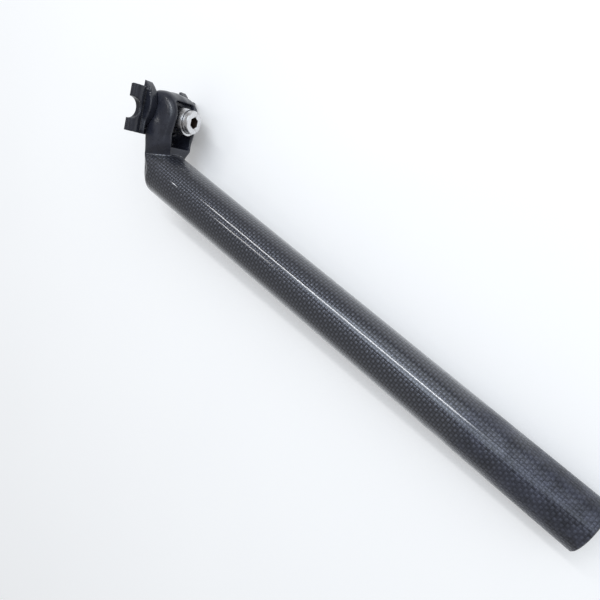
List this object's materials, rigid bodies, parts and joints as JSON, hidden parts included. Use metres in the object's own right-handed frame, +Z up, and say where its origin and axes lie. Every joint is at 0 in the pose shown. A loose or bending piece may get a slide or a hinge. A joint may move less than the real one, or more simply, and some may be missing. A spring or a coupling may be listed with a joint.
{
  "type": "bicycle seatpost",
  "caption": "Setback bicycle seatpost with a round carbon tube, a forged head and a bolted clamp for saddle rails, lying on its side.",
  "frame": {"origin": "bottom centre of the part's bounding box, as it lies at rest", "axes": "+Z up; +X along the tube towards its open end; +Y towards the side the head is set back to"},
  "size_m": [0.3202, 0.0564, 0.0553],
  "materials": {
    "carbon": "clear-coated carbon weave, scuffed dull towards the open end",
    "black_head": "satin black",
    "black_clamp": "satin black",
    "bright_steel": "bright plated steel"
  },
  "bodies": {
    "post": {"carbon_tube": "carbon", "head": "black_head"},
    "clamp": {"lower_cradle": "black_clamp", "upper_clamp": "black_clamp", "cup_washer": "bright_steel", "clamp_bolt": "bright_steel"}
  },
  "joints": [
    {"name": "saddle_tilt", "type": "hinge", "parent": "post", "child": "clamp", "pos_m": [-0.15759, 0.01137, 0.02832], "axis": [0.0451, -0.0164, 0.9988], "range_deg": [-15, 6]}
  ]
}
